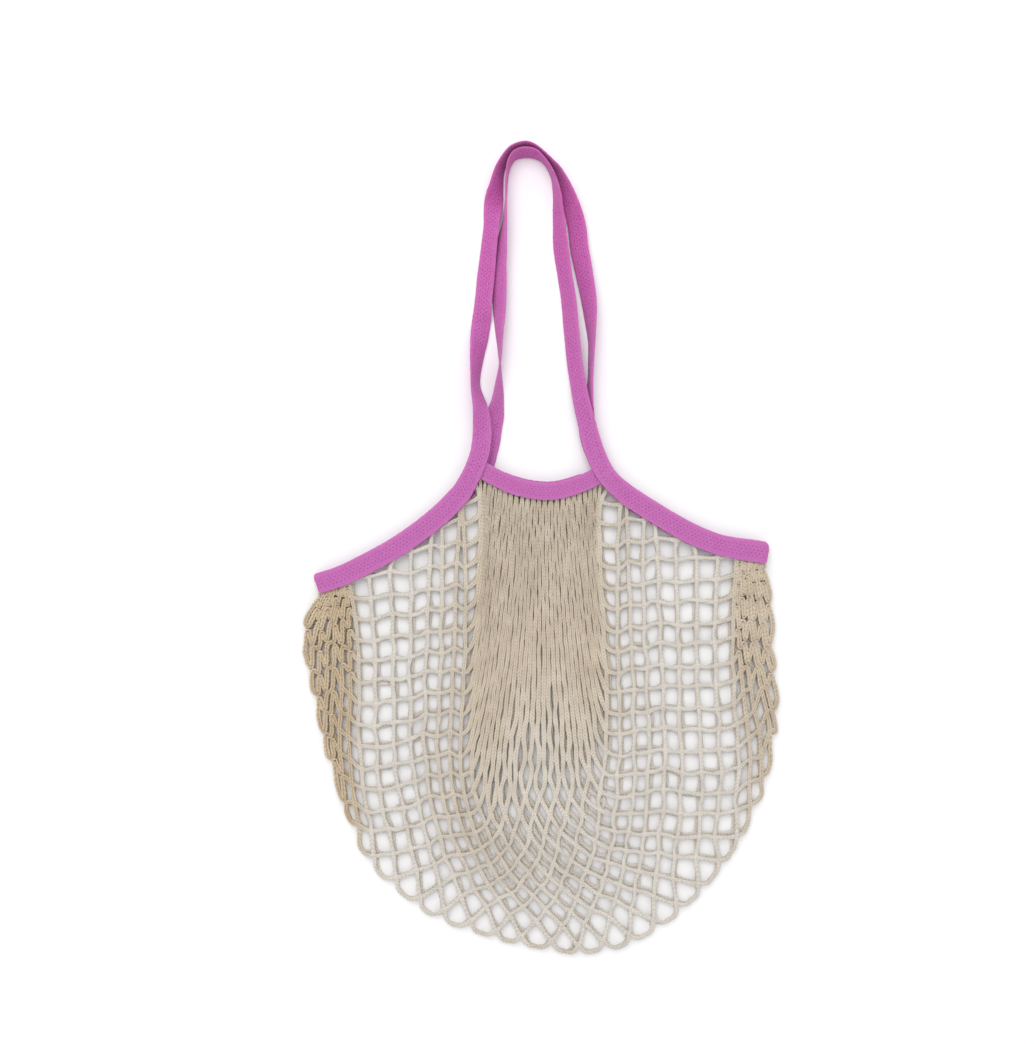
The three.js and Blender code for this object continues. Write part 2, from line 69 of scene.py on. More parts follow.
# How the net settles between its sewn edges
START_DROP = 139.0
START_ROUNDS = 3000
SETTLE_ROUNDS = 1000
HOLD_PASSES = 12
EVENING = 0.1
PULL_FADE = 3
LAYERS = {
    "front": {"pull": 4.0, "gathered": 0.17},
    "back": {"pull": 3.0, "gathered": 0.175},
}
FOLD_WAVE = 0.12
CROWDING = {"left": 0.7, "right": 0.45}
CROWD_REACH = 40.0
CROWD_MIDDLE = -185.0
CROWD_HEIGHT = 75.0
STAGGER = 3.5
STAGGER_JITTER = 1.3
STAGGER_COLUMNS = 2
KNOT_JITTER = 0.8
DRAWN_JITTER = 0.2
FOLD_JITTER = 0.5
FOLD_FLATTENING = 0.4
HEIGHT_JITTER = 0.25

# Strands of the net: flat chains of stitches, two lobes wide, that zigzag from join to join
RINGS_PER_CELL = 18
STITCHES_PER_CELL = 6
WIDEST = 3.2
WIDEST_DRAWN = 4.2
DRAWN_CROSSING = 0.55
OPEN_CROSSING = 0.85
NARROWEST = 2.0
FILL = 0.975
JOIN_BELOW = 0.65
WOBBLE = 0.5
STRAND_BLUR = 5
KNOT_SWELL = 0.25
THIN = 2.0
THICK = 2.4
LOBES_ASIDE = np.array([-1.0, -0.6, 0.0, 0.6, 1.0, 0.5, -0.5])
LOBES_ABOVE = np.array([-0.1, 0.95, 0.25, 0.95, -0.1, -0.9, -0.9])
CHEVRON = 1.1
SCALLOP = 0.1
STITCH_RELIEF = 0.16
KNOT_REACH = 0.28
KNOT_RISE = 0.2
MOST_BULGE = 1.6
FOLD_BULGE = 1.2
FOLD_FACING = 2.5
BAG_CENTRE = np.array([0.0, -130.0, 0.0])
FUZZ = 0.09
UNEVENNESS = 0.2

# Painted shade and bounce light in the yarn's colour: paler where the net is open, darker and golden
# where it is drawn, most at the sides
DRAWN_ROOM = 7.5
OPEN_ROOM = 12.5
MIDDLE_CROWD_SHADE = 0.5
LEFT_CROWD_SHADE = 0.9
RIGHT_CROWD_SHADE = 0.6
SIDE_NEAR = 130.0
SIDE_FAR = 165.0

# Centre lines of bindings and bands, edges and the fold: x, y in millimetres
LEFT_BINDING = [
    (-189.5, -31.5), (-166.0, -23.5), (-137.0, -9.0), (-111.5, 6.5), (-86.5, 26.0), (-68.5, 44.0),
]
RIGHT_BINDING = [
    (191.0, -6.0), (178.5, -4.0), (161.0, -1.0), (141.5, 4.5), (120.5, 14.0), (98.0, 27.0),
    (76.0, 41.0),
]
LEFT_CORNER = (-60.0, 58.0)
RIGHT_CORNER = (60.0, 54.5)

# Free stretches of the handles: x, y, base height and roll in degrees
OUTER_HANDLE = [
    (-61.5, 55.5, CROSSING, 0), (-56.5, 65.0, CROSSING, 0), (-51.5, 80.0, CROSSING, 4),
    (-49.8, 97.0, 9.5, 10), (-50.8, 114.5, 9.2, 36), (-55.4, 137.5, 1.5, 62), (-54.2, 161.0, 0, 44),
    (-51.6, 182.0, 0, 12), (-49.2, 204.0, 0, -20), (-46.7, 228.0, 0, -20), (-44.2, 252.0, 0, -30),
    (-41.6, 275.0, 0, -28), (-40.3, 291.0, 0, 4), (-38.1, 303.0, 0, 40), (-34.3, 319.5, 0, 64),
    (-25.8, 333.5, 0, 77), (-14.5, 338.3, 0, 80),
    (-6.0, 336.4, 0, 81), (2.8, 329.6, 0, 83), (9.0, 323.0, 0, 79), (15.2, 314.8, 0, 69),
    (22.0, 298.5, 0, 44), (29.8, 274.0, 0, 18), (32.6, 252.0, 0, 16), (37.0, 228.0, 0, 28),
    (40.8, 204.5, 0, 42), (42.6, 175.5, 0, 70), (42.0, 156.0, 0, 76), (41.3, 137.5, 0, 76),
    (39.2, 118.0, 0, 52), (39.0, 102.0, 0, 24), (43.0, 86.0, 0, 0), (49.5, 70.5, 0, 0),
    (59.0, 56.5, 0, 0),
]
INNER_HANDLE = [
    (-57.5, 56.0, 0, 0), (-48.8, 66.5, 0, 0), (-43.2, 87.0, 0, 4), (-40.3, 104.0, 0, 7),
    (-38.8, 112.5, 0, 20), (-37.0, 121.0, 0, 46), (-35.3, 137.5, 0, 68), (-34.7, 158.0, 0, 95),
    (-35.0, 175.0, 0, 110), (-35.2, 204.5, 0, 136), (-35.0, 228.0, 0, 138), (-33.9, 252.0, 0, 128),
    (-30.9, 275.0, 0, 104), (-29.7, 294.5, 0, 91), (-29.2, 311.0, 0, 86), (-27.5, 321.5, 0, 82),
    (-23.5, 329.0, 0, 77), (-17.5, 332.0, 0, 73), (-10.5, 332.4, 0, 73), (-4.2, 330.8, 0, 77),
    (1.2, 326.8, 0, 86), (6.0, 320.4, 0, 86), (9.8, 312.5, 0, 82), (12.0, 304.0, 0, 74),
    (13.4, 294.5, 0, 66), (15.0, 274.0, 0, 52), (16.7, 252.0, 0, 40), (20.4, 228.0, 0, 42),
    (23.6, 204.5, 0, 39), (27.7, 161.0, 0.4, 38), (31.1, 137.5, 2.4, 36), (34.6, 118.5, 7.2, 29),
    (38.6, 102.0, 8.0, 20), (43.6, 84.0, CROSSING, 7), (51.2, 66.0, CROSSING, 0),
    (61.0, 53.0, CROSSING, 0),
]
FRONT_BAND = [
    (-58.0, 70.0), (-46.0, 62.5), (-28.5, 53.5), (-10.5, 48.0), (8.0, 46.5), (25.5, 50.0),
    (41.0, 56.5), (55.0, 64.0),
]
BACK_BAND = [(-35.5, 57.5), (-24.0, 53.0), (-8.0, 49.0), (8.0, 48.0), (22.0, 50.5), (37.5, 55.5)]
BAND_EDGE = [
    (-56.0, 58.0), (-46.0, 60.5), (-28.5, 52.0), (-10.5, 46.5), (8.0, 45.0), (25.5, 48.5),
    (41.0, 55.0), (55.0, 56.5),
]
FOLD = [
    (-184.5, -34.0), (-201.0, -72.0), (-192.0, -124.5), (-185.5, -156.0), (-168.5, -212.5),
    (-146.5, -265.0), (-104.0, -304.0), (-58.5, -324.5), (-5.0, -338.0), (44.5, -343.0), (94.0, -326.0),
    (141.5, -284.0), (178.0, -230.5), (198.0, -164.5), (199.5, -130.5), (196.5, -84.5), (194.0, -45.5),
    (188.0, -9.0),
]

# Tension and steps of the curves, and a length to divide by at the least
TENSION = 0.5
SEWN_STEPS_PER_ROW = 8
EDGE_SAMPLES = 80
ARC_STEPS = 200
TANGENT_STEP = 0.0001
LEAST_LENGTH = 0.0001

# Columns and corners of the piece
COLUMNS = FREE_COLUMNS + SIDE_COLUMNS
CORNER_U = MOUTH_CUT + COLUMNS
CORNER_V = NET_CELLS - CORNER_U
FOLD_CELLS = CORNER_U - CORNER_V
LAST_FREE = MOUTH_CUT + FREE_COLUMNS

# Columns of the array of rooms
ROOM_IN_CELL = 2
CROSSING_SINE = 3


# Curves

def smooth(points, shares):
    """Points at shares of a curve through given points."""
    points = np.asarray(points, float)
    shares = np.asarray(shares, float)
    ends = np.vstack([2 * points[0] - points[1], points, 2 * points[-1] - points[-2]])
    run = shares * (len(points) - 1)
    at = np.minimum(run.astype(int), len(points) - 2)
    t = (run - at)[:, None]
    before, here, following, after = (ends[at + k] for k in range(4))
    slope_here = TENSION * (following - before)
    slope_next = TENSION * (after - here)
    square = 3 * (following - here) - 2 * slope_here - slope_next
    cube = 2 * (here - following) + slope_here + slope_next
    return here + slope_here * t + square * t**2 + cube * t**3


def evenly(points, shares):
    """Points at shares of the curve's length."""
    fine = np.linspace(0, 1, ARC_STEPS + 1)
    steps = np.linalg.norm(np.diff(smooth(points, fine), axis=0), axis=1)
    run = np.concatenate([[0], np.cumsum(steps)])
    return smooth(points, np.interp(np.asarray(shares) * run[-1], run, fine))


def blurred(values, reach):
    """A row of values, each averaged with those within reach of it."""
    window = np.hanning(2 * reach + 3)[1:-1]
    padded = np.concatenate([np.full(reach, values[0]), values, np.full(reach, values[-1])])
    return np.convolve(padded, window / window.sum(), mode="valid")


def left_of(direction):
    """Unit steps to the left of each direction."""
    aside = np.stack([-direction[:, 1], direction[:, 0]], axis=1)
    return aside / np.linalg.norm(aside, axis=1)[:, None]


def tangents(points, shares):
    later = np.minimum(shares + TANGENT_STEP, 1)
    earlier = np.maximum(shares - TANGENT_STEP, 0)
    return smooth(points, later) - smooth(points, earlier)


def sewn_line(rows, net_side, tuck=TUCK):
    """The line along a tape that an edge of the net is sewn to."""
    shares = np.linspace(0, 1, SEWN_STEPS_PER_ROW * len(rows) + 1)
    aside = left_of(tangents(rows, shares))
    return smooth(rows, shares) + net_side * (TAPE_WIDTH / 2 - tuck) * aside


LEFT_ROWS = [*LEFT_BINDING, LEFT_CORNER]
RIGHT_ROWS = [*RIGHT_BINDING, RIGHT_CORNER]
SEWN_LEFT = sewn_line(LEFT_ROWS, -1)
SEWN_RIGHT = sewn_line(RIGHT_ROWS, 1)
CUT_LEFT = sewn_line(LEFT_ROWS, -1, CUT_TUCK)
CUT_RIGHT = sewn_line(RIGHT_ROWS, 1, CUT_TUCK)
edge_points = np.vstack([
    evenly(line, np.linspace(0, 1, EDGE_SAMPLES + 1)) for line in (BAND_EDGE, SEWN_LEFT, SEWN_RIGHT)
])


# Net

def is_beyond_cut(u, v):
    """Whether a knot is kept by the cuts at the mouth and the two slanted sides."""
    beyond_sides = np.maximum(u - SLANT * v, v - SLANT * u) < MOUTH_CUT + SLANT
    return (u + v >= MOUTH_CUT) & beyond_sides


def is_in_net(u, v):
    return is_beyond_cut(u, v) & is_beyond_cut(NET_CELLS - v, NET_CELLS - u)


def strand_ties(inside, held):
    """Pairs of neighbouring knots, in groups that share no knot, and which of the two move."""
    size = len(inside)
    u, v = np.indices(inside.shape)
    at = np.arange(size * size).reshape(size, size)
    along_u = inside[:-1] & inside[1:]
    along_v = inside[:, :-1] & inside[:, 1:]
    groups = []
    for odd in (0, 1):
        chosen = along_u & (u[:-1] % 2 == odd)
        groups.append((at[:-1][chosen], at[1:][chosen]))
        chosen = along_v & (v[:, :-1] % 2 == odd)
        groups.append((at[:, :-1][chosen], at[:, 1:][chosen]))
    still = held.reshape(-1)
    ties = []
    for start, end in groups:
        moving = 2.0 - still[start] - still[end]
        loose = moving > 0
        start, end, moving = start[loose], end[loose], moving[loose]
        ties.append((start, end, moving, ~still[start], ~still[end]))
    return ties


def settle_layer(pull, gathered):
    """One layer of the net, from its mouth to the fold, as a grid of knots."""
    size = NET_CELLS + 1
    place = np.zeros((size, size, 2))
    held = np.zeros((size, size), bool)

    def hold(u, v, points):
        place[u, v] = points
        held[u, v] = True

    steps = np.arange(MOUTH_CUT + 1)
    hold(MOUTH_CUT - steps, steps, evenly(BAND_EDGE, steps / MOUTH_CUT))
    columns = np.arange(COLUMNS + 1)
    free_shares = 1 - (1 - gathered) * (columns / FREE_COLUMNS) ** BUNCHING
    side_shares = gathered * (COLUMNS - columns) / SIDE_COLUMNS
    shares = np.where(columns <= FREE_COLUMNS, free_shares, side_shares)
    for first, left, right in ((0, SEWN_LEFT, SEWN_RIGHT), (1, CUT_LEFT, CUT_RIGHT)):
        chosen = columns[first::SLANT]
        hold(MOUTH_CUT + chosen, chosen // SLANT, evenly(left, shares[chosen]))
        hold(chosen // SLANT, MOUTH_CUT + chosen, evenly(right, shares[chosen]))
    turns = 2 * math.pi * (np.arange(FOLD_CELLS) + 0.5) / FOLD_CELLS
    runs = np.concatenate([[0], np.cumsum(1 + FOLD_WAVE * np.cos(turns))])
    steps = np.arange(FOLD_CELLS + 1)
    hold(CORNER_U - steps, CORNER_V + steps, evenly(FOLD, runs / runs[-1]))

    u, v = np.indices((size, size))
    inside = is_in_net(u, v) & (u + v <= NET_CELLS)
    place[inside & ~held, 1] = -START_DROP
    flat = place.reshape(-1, 2)
    free = np.flatnonzero((inside & ~held).reshape(-1))
    depth = (u + v - MOUTH_CUT) / (NET_CELLS - MOUTH_CUT)
    weight = (1 - depth.reshape(-1)[free]) ** PULL_FADE
    ties = strand_ties(inside, held)

    def even(share, drop):
        mean = (flat[free - 1] + flat[free + 1] + flat[free - size] + flat[free + size]) / 4
        flat[free] += share * (mean - flat[free])
        flat[free, 1] -= drop * weight

    for _ in range(START_ROUNDS):
        even(1, 0)
    for _ in range(SETTLE_ROUNDS):
        even(EVENING, pull)
        for _ in range(HOLD_PASSES):
            for start, end, moving, start_moves, end_moves in ties:
                apart = flat[end] - flat[start]
                length = np.linalg.norm(apart, axis=1)
                share = np.maximum(length - CELL, 0) / length / moving
                step = apart * share[:, None]
                flat[start] += step * start_moves[:, None]
                flat[end] -= step * end_moves[:, None]
    gather_sides(place, runs / runs[-1])
    crowd_sides(place)
    return place


def crowd_sides(place):
    """Draws the net towards the fold at the bag's two sides."""
    outline = evenly(FOLD, np.linspace(0, 1, ARC_STEPS + 1))
    lowest = outline[:, 1].argmin()
    sides = {"left": outline[:lowest + 1], "right": outline[:lowest - 1:-1]}
    height = np.exp(-(((place[..., 1] - CROWD_MIDDLE) / CROWD_HEIGHT) ** 2))
    for name, edge in sides.items():
        from_edge = place[..., 0] - np.interp(-place[..., 1], -edge[:, 1], edge[:, 0])
        near = np.exp(-np.abs(from_edge) / CROWD_REACH)
        place[..., 0] -= CROWDING[name] * height * near * from_edge


def gather_sides(place, fold_shares):
    """Shares the room from the last free column to the fold out among the gathered columns."""
    for column in range(LAST_FREE + 1, CORNER_U):
        rows = np.arange((column - MOUTH_CUT) // SLANT + 1, NET_CELLS - column)
        level = rows - (column - MOUTH_CUT) / SLANT
        fold_column = (SLANT * (NET_CELLS - level) + MOUTH_CUT) / (SLANT + 1)
        share = ((column - LAST_FREE) / (fold_column - LAST_FREE))[:, None]
        step = CORNER_U - fold_column
        free_row = level + FREE_COLUMNS / SLANT
        above = free_row.astype(int)
        past = (free_row - above)[:, None]
        left = (1 - past) * place[LAST_FREE, above] + past * place[LAST_FREE, above + 1]
        right = (1 - past) * place[above, LAST_FREE] + past * place[above + 1, LAST_FREE]
        steps = np.arange(FOLD_CELLS + 1)
        left_fold = evenly(FOLD, np.interp(step, steps, fold_shares))
        right_fold = evenly(FOLD, np.interp(FOLD_CELLS - step, steps, fold_shares))
        place[column, rows] = left + share * (left_fold - left)
        place[rows, column] = right + share * (right_fold - right)


def near_sewn_edge(points):
    """1 at the net's sewn edges and 0 well away from them."""
    apart = points[:, None, :] - edge_points[None, :, :]
    distance = np.sqrt((apart**2).sum(axis=2)).min(axis=1)
    return np.clip((LIFT_FAR - distance) / (LIFT_FAR - LIFT_NEAR), 0, 1)


def net_knots():
    """Places of all knots of the piece, NaN outside it, and the room of the strands there."""
    size = NET_CELLS + 1
    front = settle_layer(**LAYERS["front"])
    back = settle_layer(**LAYERS["back"])
    u, v = np.indices((size, size))
    behind = u + v > NET_CELLS
    on_fold = u + v == NET_CELLS
    flat = np.where(behind[..., None], back[NET_CELLS - v, NET_CELLS - u], front)
    # Knots beside the fold lie closer to it
    for step in (1, -1):
        beside = (u + v == NET_CELLS - step) & (np.maximum(u, v) <= LAST_FREE)
        middle = (np.roll(flat, -step, axis=0) + np.roll(flat, -step, axis=1)) / 2
        flat = np.where(beside[..., None], flat + FOLD_FLATTENING * (middle - flat), flat)
    flat[~is_in_net(u, v)] = np.nan
    rooms = strand_room(flat)
    openness = how_open(rooms[..., ROOM_IN_CELL])
    lift = near_sewn_edge(flat.reshape(-1, 2)).reshape(size, size)
    # Gathered columns are shifted up and down by turns
    column = np.where(behind, NET_CELLS - np.minimum(u, v), np.maximum(u, v))
    gathered = np.clip((column - LAST_FREE) / STAGGER_COLUMNS, 0, 1) * (1 - lift) * ~on_fold
    stagger = STAGGER * np.where(np.arange(size) % 2, 1, -1) + rng.normal(0, STAGGER_JITTER, size)
    flat[..., 1] += gathered * (stagger[column] + rng.normal(0, STAGGER_JITTER, (size, size)))
    # Both layers rise towards the tapes and meet at the fold
    front_height = FRONT_LOW + (FRONT_HIGH - FRONT_LOW) * lift
    back_height = BACK_LOW + (BACK_HIGH - BACK_LOW) * lift
    height = np.where(behind, back_height, front_height)
    height[on_fold] = (front_height[on_fold] + back_height[on_fold]) / 2
    # No two cells lie quite alike
    free_jitter = DRAWN_JITTER + (KNOT_JITTER - DRAWN_JITTER) * openness
    jitter = (1 - lift) * np.where(on_fold, FOLD_JITTER, free_jitter)
    flat = flat + jitter[..., None] * rng.normal(0, 1, flat.shape)
    height = height + (1 - lift) * np.abs(rng.normal(0, HEIGHT_JITTER, height.shape))
    return np.concatenate([flat - OUTLINE_MIDDLE, height[..., None]], axis=2), rooms


def how_open(room):
    """0 where the net is drawn close and 1 where its cells are open."""
    return np.clip((room - DRAWN_ROOM) / (OPEN_ROOM - DRAWN_ROOM), 0, 1)


def steps_along(knots, axis):
    """The step from knot to knot along an axis, averaged over the two sides of each knot."""
    step = np.diff(knots, axis=axis)
    gap = np.full_like(np.take(knots, [0], axis=axis), np.nan)
    both = np.stack([np.concatenate([step, gap], axis=axis), np.concatenate([gap, step], axis=axis)])
    count = np.maximum((~np.isnan(both)).sum(axis=0), 1)
    return np.nansum(both, axis=0) / count


def layer_room(knots):
    """The rooms at the knots of one layer."""
    along_u = steps_along(knots, 0)
    along_v = steps_along(knots, 1)
    area = np.abs(along_u[..., 0] * along_v[..., 1] - along_u[..., 1] * along_v[..., 0])
    lengths = [np.maximum(np.linalg.norm(step, axis=2), 1) for step in (along_u, along_v)]
    lane = area / np.maximum(np.linalg.norm(along_u + along_v, axis=2), 1)
    crossing = area / (lengths[0] * lengths[1])
    drawn = np.clip((OPEN_CROSSING - crossing) / (OPEN_CROSSING - DRAWN_CROSSING), 0, 1)
    widest = WIDEST + (WIDEST_DRAWN - WIDEST) * drawn
    return np.stack([lane, widest, area / np.maximum(*lengths), crossing], axis=-1)


def strand_room(knots):
    """At each knot: the lanes' width, the widest strand, the room in a cell, the crossing's sine."""
    u, v = np.indices(knots.shape[:2])
    is_front = (u + v <= NET_CELLS)[..., None]
    is_back = (u + v >= NET_CELLS)[..., None]
    front = layer_room(np.where(is_front, knots, np.nan))
    back = layer_room(np.where(is_back, knots, np.nan))
    return np.where(is_front, front, back)


def tube_quads(rings, points):
    """Quads of a tube: its sides and its end caps, which leave one corner of an odd ring open."""
    row = np.arange(rings - 1)[:, None] * points
    side = np.arange(points)[None, :]
    beside = (side + 1) % points
    sides = np.stack([row + side, row + points + side, row + points + beside, row + beside], axis=2)
    step = np.arange(points // 2 - 1)
    cap = np.stack([step, step + 1, points - 2 - step, points - 1 - step], axis=1)
    last = (rings - 1) * points
    return np.vstack([sides.reshape(-1, 4), cap, cap[:, ::-1] + last])


def beside_each_other(knots, chain, turns):
    """Moves the knots where a strand turns back into that strand's own lane."""
    inward = np.zeros_like(knots)
    inward[1:-1] = (knots[:-2] + knots[2:]) / 2 - knots[1:-1]
    inward[:, 2] = 0
    far = np.maximum(np.linalg.norm(inward, axis=1), LEAST_LENGTH)
    shift = np.minimum(chain / 2, far / 2) * turns
    return knots + inward * (shift / far)[:, None]


def strand_bulge(path, across, knots, openness, fold_at):
    """How far a strand leans out in each cell, within the length that it has to spare there."""
    cells = len(knots) - 1
    chords = np.linalg.norm(np.diff(knots[:, :2], axis=0), axis=1)
    spare = np.maximum(CELL - chords, 0)
    lean = MOST_BULGE * np.minimum(openness[1:], openness[:-1]) * rng.uniform(-1, 1, cells)
    for at_fold in {fold_at - 1, fold_at} & set(range(cells)):
        ring = at_fold * RINGS_PER_CELL + RINGS_PER_CELL // 2
        outward = path[ring] - BAG_CENTRE
        facing_down = np.clip(-FOLD_FACING * outward[1] / np.linalg.norm(outward) - 1, 0, 1)
        lean[at_fold] = FOLD_BULGE * facing_down * np.sign(across[ring] @ outward)
    # A shallow arc of this rise is longer than its chord by the spare length
    most = np.sqrt(3 * chords * spare / 8)
    return np.clip(lean, -most, most)


def yarn_line(knots, room, over, turns, fold_at):
    """Vertices, quads and stitch coordinates of one strand through its knots."""
    cells = len(knots) - 1
    count = cells * RINGS_PER_CELL + 1
    t = np.linspace(0, cells, count)
    lane, widest, least_room, _ = room.T
    openness = how_open(least_room)
    chain = np.clip(FILL * lane, NARROWEST, widest)
    # The strand's way from knot to knot
    knots = beside_each_other(knots, chain, turns)
    path = smooth(knots, t / cells)
    cell = np.minimum(t.astype(int), cells - 1)
    from_knot = np.abs(t - np.round(t))
    at_knot = np.exp(-((from_knot / KNOT_REACH) ** 2))
    run = np.gradient(path, axis=0)
    run /= np.linalg.norm(run, axis=1)[:, None]
    across = np.stack([-run[:, 1], run[:, 0], np.zeros(count)], axis=1)
    across /= np.maximum(np.linalg.norm(across, axis=1), LEAST_LENGTH)[:, None]
    up = np.cross(run, across)

    bulge = strand_bulge(path, across, knots, openness, fold_at)
    path = path + across * (bulge[cell] * np.sin(math.pi * (t - cell)) ** 2)[:, None]
    path[:, 2] += KNOT_RISE * at_knot * over[np.round(t).astype(int)]
    here_open = np.interp(t, np.arange(cells + 1), openness)
    drawn = 1 - here_open
    wobble = WOBBLE * drawn * blurred(rng.normal(0, 1, count), STRAND_BLUR)
    path += across * wobble[:, None]

    # Its width and thickness, stitch by stitch, and its painted crowd shade: darker, golden yarn where
    # it is drawn close
    width = np.interp(t, np.arange(cells + 1), chain) * (1 + KNOT_SWELL * at_knot * here_open)
    width *= 1 + UNEVENNESS * blurred(rng.normal(0, 1, count), STRAND_BLUR)
    aside_share = np.clip((np.abs(path[:, 0]) - SIDE_NEAR) / (SIDE_FAR - SIDE_NEAR), 0, 1)
    side_crowd_shade = np.where(path[:, 0] < 0, LEFT_CROWD_SHADE, RIGHT_CROWD_SHADE)
    painted_crowd_shade = drawn * (MIDDLE_CROWD_SHADE + (side_crowd_shade - MIDDLE_CROWD_SHADE) * aside_share)
    thick = THIN + (THICK - THIN) * drawn
    stitch = np.cos(2 * math.pi * STITCHES_PER_CELL * t)
    half_width = width / 2 * (1 + SCALLOP * stitch)
    half_thick = thick / 2 * (1 + STITCH_RELIEF * stitch)
    points = len(LOBES_ASIDE)
    ahead = CHEVRON * (np.abs(LOBES_ASIDE) - 0.5)
    vertices = (
        path[:, None, :]
        + across[:, None, :] * (half_width[:, None] * LOBES_ASIDE)[:, :, None]
        + up[:, None, :] * (half_thick[:, None] * LOBES_ABOVE)[:, :, None]
        + run[:, None, :] * ahead[None, :, None]
        + rng.normal(0, FUZZ, (count, points, 3))
    )
    vertices[..., 2] = np.maximum(vertices[..., 2], 0)
    uv = np.stack([
        np.broadcast_to(STITCHES_PER_CELL * t[:, None], (count, points)),
        np.broadcast_to(LOBES_ASIDE[None, :], (count, points)),
        np.broadcast_to(painted_crowd_shade[:, None], (count, points)),
    ], axis=2)
    return vertices.reshape(-1, 3), tube_quads(count, points), uv.reshape(-1, 3)


def mesh_object(name, vertices, quads, uv):
    """A piece from its quads, with its coordinates and, where given, its painted crowd shade."""
    mesh = bpy.data.meshes.new(name)
    mesh.vertices.add(len(vertices))
    mesh.vertices.foreach_set("co", np.asarray(vertices * MM, np.float32).ravel())
    mesh.loops.add(quads.size)
    mesh.loops.foreach_set("vertex_index", quads.astype(np.int32).ravel())
    mesh.polygons.add(len(quads))
    mesh.polygons.foreach_set("loop_start", np.arange(0, quads.size, 4, dtype=np.int32))
    mesh.polygons.foreach_set("use_smooth", np.ones(len(quads), bool))
    layer = mesh.uv_layers.new(name="run_and_width")
    layer.data.foreach_set("uv", np.asarray(uv[quads.ravel(), :2], np.float32).ravel())
    if uv.shape[1] == 3:
        painted_crowd_shade = mesh.attributes.new("painted_crowd_shade", "FLOAT", "POINT")
        painted_crowd_shade.data.foreach_set("value", np.asarray(uv[:, 2], np.float32))
    mesh.update(calc_edges=True)
    mesh.validate()
    piece = bpy.data.objects.new(name, mesh)
    bpy.context.scene.collection.objects.link(piece)
    return piece


def joined(parts):
    """One mesh from several lists of vertices, quads and coordinates."""
    sizes = [len(vertices) for vertices, _, _ in parts]
    starts = np.concatenate([[0], np.cumsum(sizes)])
    return (
        np.vstack([vertices for vertices, _, _ in parts]),
        np.vstack([quads + start for (_, quads, _), start in zip(parts, starts)]),
        np.vstack([uv for _, _, uv in parts]),
    )


def net_strands(there, turns):
    """Follows each strand from knot to knot: it crosses the other one or turns back beside it."""
    arriving = {}
    strands = []
    for u, v in sorted(np.argwhere(there).tolist(), key=sum):
        for direction in (0, 1):
            strand = arriving.pop((u, v, direction), [])
            strand.append((u, v, 1 if (u + v + direction) % 2 else -1))
            onward = 1 - direction if turns[u, v] else direction
            following = (u + 1, v) if onward == 0 else (u, v + 1)
            if max(following) <= NET_CELLS and there[following]:
                arriving[(*following, onward)] = strand
            elif len(strand) > 1:
                strands.append(np.array(strand))
    return strands


def net_pieces():
    """The net's strands, joined into four pieces."""
    knots, rooms = net_knots()
    u, v = np.indices(rooms.shape[:2])
    turns = (rooms[..., CROSSING_SINE] < JOIN_BELOW) & (u + v != NET_CELLS)
    parts = {"net_front_left": [], "net_front_right": [], "net_back_left": [], "net_back_right": []}
    for strand in net_strands(~np.isnan(knots[..., 0]), turns):
        u, v, over = strand.T
        fold_at = NET_CELLS - u[0] - v[0]
        chain = yarn_line(knots[u, v], rooms[u, v], over, turns[u, v], fold_at)
        share_out(parts, chain, u, v)
    return {name: joined(pieces) for name, pieces in parts.items()}


def share_out(parts, chain, u, v):
    """Shares a chain's quads out between the front and back layers and the bag's two sides."""
    vertices, quads, uv = chain
    place = (quads[:, 0] // len(LOBES_ASIDE) + 0.5) / RINGS_PER_CELL
    steps = np.arange(len(u))
    layer = np.where(np.interp(place, steps, u + v) <= NET_CELLS, "front", "back")
    side = np.where(np.interp(place, steps, u - v) > 0, "left", "right")
    for name in parts:
        _, wanted_layer, wanted_side = name.split("_")
        chosen = quads[(layer == wanted_layer) & (side == wanted_side)]
        if len(chosen) == 0:
            continue
        used, renumbered = np.unique(chosen, return_inverse=True)
        parts[name].append((vertices[used], renumbered.reshape(-1, 4), uv[used]))


# Tape: rings along it, places across it, woven dots, edges and ends

RING_STEP = 1.15
END_STEPS = np.array([0, 0.1, 0.28, 0.52, 0.8])
HALF_TAPE = 8.0
HALF_LAY = np.array([1.15, 2.3, 3.45, 4.6, 5.6, 6.6, 7.3, 7.75, 8.0]) / HALF_TAPE
LAY = np.concatenate([-HALF_LAY[::-1], [0], HALF_LAY])
EDGE_POWER = 5.0
DOT_PITCH = 3.45
DOT_ROW_PITCH = 2.3
DOT_LENGTH = 0.95
DOT_WIDTH = 0.55
DOT_REACH = 4.6
DOT_DEPTH = 0.14
EDGE_WAVE = 0.25
EDGE_FRAY = 0.07
SQUARE_END = {"left": 3.0, "right": 3.0, "swell": 0.0}
ROUND_END = {"left": 5.5, "right": 2.2, "swell": 1.2}
SWELL_LENGTH = 30.0
SWELL_POWER = 4
END_SLIMNESS = 0.35
END_SLIM_LENGTH = 3.0
STEPS_PER_STATION = 40
EDGE_BLUR = 9
STATION_BLUR = 7


def flat_at(base, rows, width):
    """Stations of a tape that lies flat: x, y, base height, roll and width."""
    return [(x, y, base, 0, width) for x, y in rows]


def strap(rows):
    """Stations of a free stretch of a handle."""
    return [(x, y, base, roll, STRAP_WIDTH) for x, y, base, roll in rows]


def corner_cut(from_end, radius):
    """How far a rounded corner draws an edge in at a distance from the end."""
    return radius * (1 - np.sqrt(1 - (1 - np.minimum(from_end / radius, 1)) ** 2))


def edge_from_middle(width, side, ends, from_ends):
    """Half of the tape's width on one side, with its corners rounded at both ends."""
    half = width / 2
    for end, from_end in zip(ends, from_ends):
        swell = end["swell"] if side == "left" else 0
        swelling = swell * np.exp(-((from_end / SWELL_LENGTH) ** SWELL_POWER))
        half = half + swelling - corner_cut(from_end, end[side])
    return half


